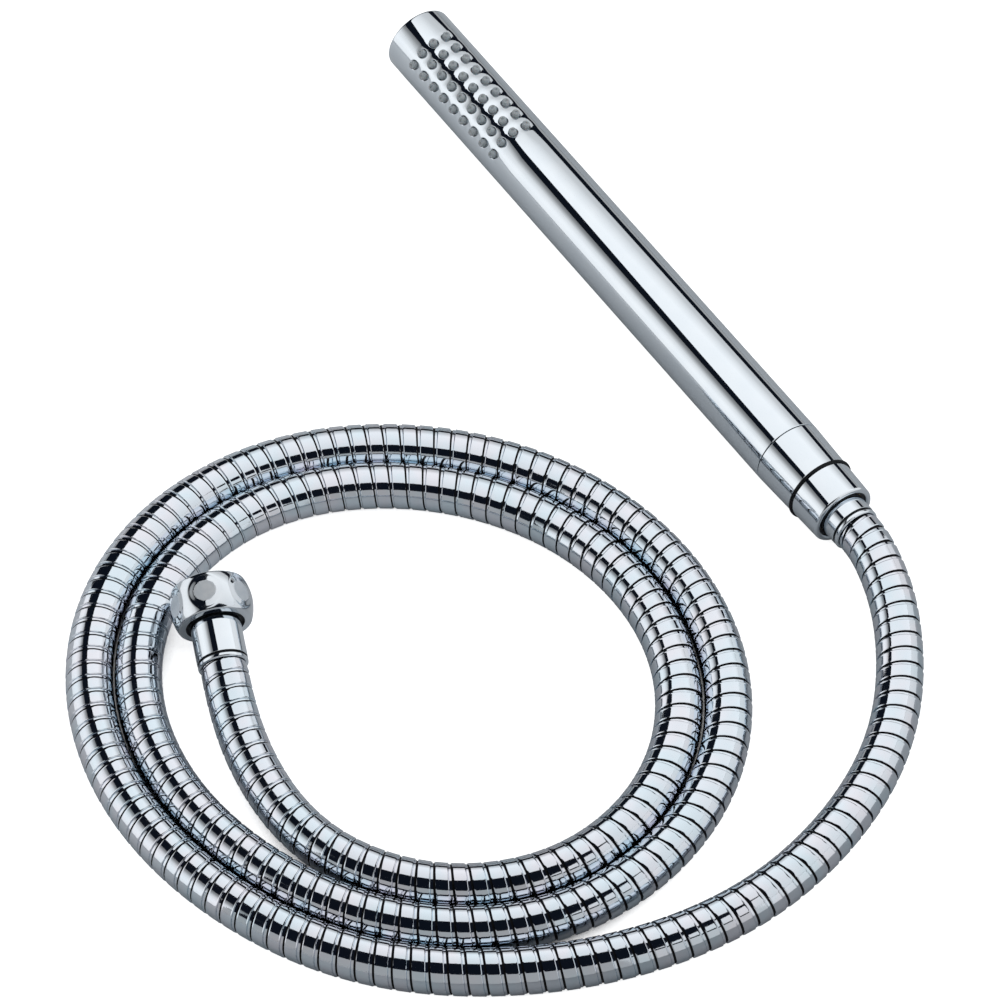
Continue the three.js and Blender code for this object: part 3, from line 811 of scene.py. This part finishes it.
def nut_rows():
    """The nut's section as (radius or a function for it, distance along)."""
    rows = [(NUT_THROAT_R, NUT_FLOOR), (NUT_THROAT_R, 16.1), (RECESS_R, 16), (RECESS_R, 15.1)]
    rows += [(9.35, NUT_START), (11.1, NUT_START), (11.4, 15.05), (11.62, 15.2)]
    rows += [(nut_radius, BARREL_START + BARREL_LENGTH * k / BARREL_ROWS) for k in range(BARREL_ROWS + 1)]
    rows += [(11.62, 28.1), (11.4, 28.25), (11.1, NUT_END), (10.6, NUT_END), (10.4, 28.1)]
    rows += [(thread_radius, THREAD_START - THREAD_STEP * k) for k in range(THREAD_ROWS)]
    return rows + [(10.4, 20.7), (NUT_BORE_R, 20.5), (NUT_BORE_R, NUT_FLOOR)]


def on_boss(centre):
    radius, y, turn = local_coordinates(WALL_END, centre)
    return radius > NUT_FLAT and from_flat_middle(turn, y) < BOSS_R


def in_shaded_nut_recess(centre):
    radius, y, _ = local_coordinates(WALL_END, centre)
    return radius < RECESS_R + 0.05 and y < NUT_FLOOR


def add_wall_nut():
    turns = even_turns(NUT_COLUMNS)
    bm = bmesh.new()
    add_grid(bm, [
        [local_point(WALL_END, r(y, turn) if callable(r) else r, y, turn) for turn in turns]
        for r, y in nut_rows()
    ])
    nut = add_piece("wall_nut_barrel", bm, NUT_CHROME, "chrome", "wall_nut", "wall_nut", crease=35)
    paint(nut, FROSTED_CHROME, on_boss)
    # The recess around the nut's throat is painted near-black as painted shade.
    paint(nut, PAINTED_RECESS_SHADE, in_shaded_nut_recess)
    return nut


# ---- Check valve spring ----

SPRING_START = 217.25
SPRING_END = 223.35
SPRING_R = 4.2
SPRING_WIRE_R = 0.35
SPRING_WINDS = 4
SPRING_STEPS = SPRING_WINDS * 32
WIRE_SIDES = 8


def add_spring():
    rows = []
    for i in range(SPRING_STEPS + 1):
        t = i / SPRING_STEPS
        turn = FULL_TURN * SPRING_WINDS * t
        y = SPRING_START + (SPRING_END - SPRING_START) * t
        section = [
            (SPRING_R + SPRING_WIRE_R * math.cos(a), y + SPRING_WIRE_R * math.sin(a))
            for a in even_turns(WIRE_SIDES)
        ]
        rows.append([local_point(HANDSET, radius, along, turn) for radius, along in section])
    bm = bmesh.new()
    add_capped_tube(bm, rows)
    spring = add_piece("check_valve_coil", bm, STEEL, "spring_steel", "handset", "check_valve_spring")
    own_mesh(spring)


# ---- Lights and floor ----

DARK = (0.005, 0.007, 0.012, 1)
WHITE = (1, 1, 1, 1)
FLOOR_REACH = 6
# The floor's colour is greyer under the handset as a painted shadow of it, and paler away to the left.
FLOOR_PAINTED_SHADOW = (0.5, 0.52, 0.54, 1)
FLOOR_PALE = (0.93, 0.95, 0.97, 1)
PAINTED_SHADOW_FROM_X = 0.03
PALE_FROM_X = -0.16
# The floor's glow is dimmed in crevices, as painted shade between the hose's turns.
CREVICE_REACH = 0.03
CREVICE_OPENNESS = (0.06, 0.2)
CREVICE_GLOW = (0.02, 1.0)

# Soft boxes in the studio's frame: name, centre, size, the way it faces, and its glow as a list of
# (fraction of its height, radiance).
PANELS = [
    ("overhead", (0.217, 0.36, 0.37), (0.806, 1.04), (0, 0, -1),
     [(0, 0.9), (0.254, 1.05), (0.443, 1.1), (0.575, 0.9), (0.711, 0.7), (0.942, 0.62)]),
    ("front_overhead", (0.445, -0.33, 0.37), (0.35, 0.34), (0, 0, -1), [(0, 0.8), (1, 0.9)]),
    ("left_wall", (-0.49, 0, 0.26), (0.8, 0.52), (1, 0, 0),
     [(0, 1), (0.25, 1.08), (0.37, 1.05), (0.58, 0.85), (0.68, 0.62), (0.81, 0.36), (0.92, 0.25),
      (1, 0.2)]),
    ("right_wall", (0.62, 0.08, 0.185), (1.16, 0.36), (-1, 0, 0), [(0, 0.8), (1, 0.9)]),
    ("back_wall", (0.1, 1.25, 0.1), (2.2, 0.2), (0, -1, 0), [(0, 0.36), (1, 0.4)]),
    ("front_wall", (-0.25, -0.5, 0.15), (0.9, 0.3), (0, 1, 0), [(0, 0.42), (1, 0.42)]),
    ("front_right_wall", (0.45, -0.5, 0.15), (0.5, 0.3), (0, 1, 0), [(0, 0.62), (1, 0.66)]),
]


def new_surface(name):
    """A material with an empty node tree."""
    made = bpy.data.materials.new(name)
    made.use_nodes = True
    made.node_tree.nodes.clear()
    return made, made.node_tree


def add_rectangle(name, corners, surface):
    mesh = bpy.data.meshes.new(name)
    mesh.from_pydata([(x, y, 0) for x, y in corners], [], [(0, 1, 2, 3)])
    mesh.materials.append(surface)
    rectangle = bpy.data.objects.new(name, mesh)
    bpy.context.collection.objects.link(rectangle)
    return rectangle


def glow_ramp(tree, glow, brightest):
    """A ramp over the panel's height, as fractions of its brightest radiance."""
    ramp = tree.nodes.new("ShaderNodeValToRGB")
    while len(ramp.color_ramp.elements) < len(glow):
        ramp.color_ramp.elements.new(0.5)
    for element, (fraction, radiance) in zip(ramp.color_ramp.elements, glow):
        element.position = fraction
        element.color = (*[radiance / brightest] * 3, 1)
    return ramp


def panel_surface(name, glow):
    """Glows on its front and is dark behind."""
    made, tree = new_surface(name)
    brightest = max(radiance for _, radiance in glow)
    place = tree.nodes.new("ShaderNodeTexCoord")
    split = tree.nodes.new("ShaderNodeSeparateXYZ")
    ramp = glow_ramp(tree, glow, brightest)
    lit = tree.nodes.new("ShaderNodeEmission")
    lit.inputs["Strength"].default_value = brightest
    dark = tree.nodes.new("ShaderNodeEmission")
    dark.inputs["Strength"].default_value = 0
    side = tree.nodes.new("ShaderNodeNewGeometry")
    mix = tree.nodes.new("ShaderNodeMixShader")
    output = tree.nodes.new("ShaderNodeOutputMaterial")
    tree.links.new(place.outputs["Generated"], split.inputs["Vector"])
    tree.links.new(split.outputs["Y"], ramp.inputs["Fac"])
    tree.links.new(ramp.outputs["Color"], lit.inputs["Color"])
    tree.links.new(side.outputs["Backfacing"], mix.inputs["Fac"])
    tree.links.new(lit.outputs["Emission"], mix.inputs[1])
    tree.links.new(dark.outputs["Emission"], mix.inputs[2])
    tree.links.new(mix.outputs["Shader"], output.inputs["Surface"])
    return made


def add_panel(name, centre, size, facing, glow):
    x, y = size[0] / 2, size[1] / 2
    panel = add_rectangle(name, [(-x, y), (x, y), (x, -y), (-x, -y)], panel_surface(name, glow))
    aim = Vector(facing).to_track_quat("-Z", "Y").to_matrix().to_4x4()
    panel.matrix_world = STUDIO @ Matrix.Translation(centre) @ aim
    panel.visible_camera = False


def camera_mix(tree, seen, otherwise):
    """Joins two shaders: one for what the camera sees directly, one for all other rays."""
    rays = tree.nodes.new("ShaderNodeLightPath")
    mix = tree.nodes.new("ShaderNodeMixShader")
    tree.links.new(rays.outputs["Is Camera Ray"], mix.inputs["Fac"])
    tree.links.new(otherwise, mix.inputs[1])
    tree.links.new(seen, mix.inputs[2])
    return mix.outputs["Shader"]


def floor_with_painted_shadow(tree):
    """A matt card that is greyer under the handset, a painted shadow of it that the chrome reflects, and
    paler to the left of it.
    """
    place = tree.nodes.new("ShaderNodeTexCoord")
    split = tree.nodes.new("ShaderNodeSeparateXYZ")
    across = tree.nodes.new("ShaderNodeMapRange")
    across.inputs["From Min"].default_value = PAINTED_SHADOW_FROM_X
    across.inputs["From Max"].default_value = PALE_FROM_X
    tint = tree.nodes.new("ShaderNodeValToRGB")
    for element, colour in zip(tint.color_ramp.elements, (FLOOR_PAINTED_SHADOW, FLOOR_PALE)):
        element.color = colour
    matt = tree.nodes.new("ShaderNodeBsdfDiffuse")
    tree.links.new(place.outputs["Object"], split.inputs["Vector"])
    tree.links.new(split.outputs["X"], across.inputs["Value"])
    tree.links.new(across.outputs["Result"], tint.inputs["Fac"])
    tree.links.new(tint.outputs["Color"], matt.inputs["Color"])
    return matt.outputs["BSDF"]


def floor_glow(tree):
    """A glow that fades where little of the floor's surroundings is open, as between the hose's turns:
    painted shade in those crevices.
    """
    open_air = tree.nodes.new("ShaderNodeAmbientOcclusion")
    open_air.samples = 8
    open_air.inputs["Distance"].default_value = CREVICE_REACH
    fade = tree.nodes.new("ShaderNodeMapRange")
    fade.inputs["From Min"].default_value = CREVICE_OPENNESS[0]
    fade.inputs["From Max"].default_value = CREVICE_OPENNESS[1]
    fade.inputs["To Min"].default_value = CREVICE_GLOW[0]
    fade.inputs["To Max"].default_value = CREVICE_GLOW[1]
    glow = tree.nodes.new("ShaderNodeEmission")
    tree.links.new(open_air.outputs["AO"], fade.inputs["Value"])
    tree.links.new(fade.outputs["Result"], glow.inputs["Strength"])
    return glow.outputs["Emission"]


def add_floor():
    """Matt to every ray, with a glow on top for the camera alone, which turns it white."""
    made, tree = new_surface("floor")
    matt = floor_with_painted_shadow(tree)
    both = tree.nodes.new("ShaderNodeAddShader")
    output = tree.nodes.new("ShaderNodeOutputMaterial")
    tree.links.new(matt, both.inputs[0])
    tree.links.new(floor_glow(tree), both.inputs[1])
    tree.links.new(camera_mix(tree, both.outputs["Shader"], matt), output.inputs["Surface"])
    far = FLOOR_REACH
    floor = add_rectangle("floor", [(-far, -far), (far, -far), (far, far), (-far, far)], made)
    floor.matrix_world = STUDIO


def add_world():
    """Dark to every ray but the camera's own, which sees white beyond the floor."""
    world = bpy.data.worlds.new("studio")
    bpy.context.scene.world = world
    world.use_nodes = True
    tree = world.node_tree
    dark = tree.nodes["Background"]
    dark.inputs["Color"].default_value = DARK
    pale = tree.nodes.new("ShaderNodeBackground")
    pale.inputs["Color"].default_value = WHITE
    output = tree.nodes["World Output"]
    tree.links.new(camera_mix(tree, pale.outputs[0], dark.outputs[0]), output.inputs["Surface"])


def add_studio():
    bpy.context.scene.view_settings.view_transform = "Standard"
    add_world()
    for panel in PANELS:
        add_panel(*panel)


# ---- Assembly ----

HIDDEN_PIECES = {
    "head_cap_o_ring": BLACK_RUBBER,
    "spray_core": WHITE_PLASTIC,
    "waterway_pipe": WHITE_PLASTIC,
    "upper_pipe_o_ring": BLACK_RUBBER,
    "lower_pipe_o_ring": BLACK_RUBBER,
    "inlet_o_ring": BLACK_RUBBER,
    "check_valve_housing": BLUE_PLASTIC,
    "check_valve_poppet": WHITE_PLASTIC,
    "flow_limiter": BLUE_PLASTIC,
    "filter_screen": STEEL,
}


def dress_hidden_pieces():
    for node, surface in HIDDEN_PIECES.items():
        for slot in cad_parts[node].material_slots:
            slot.material = surface


add_camera()
hose_frame = HoseFrame(hose_line())
casing = add_hose(hose_frame)
liner = add_liner(hose_frame)
fittings = add_fittings()
nuts = [add_handset_nut(), add_wall_nut()]
add_spring()
add_wand_tube()
add_nozzle_mat()
add_head_cap()
add_inlet_housing()
add_gap_ring()
dress_hidden_pieces()
add_floor()
add_studio()
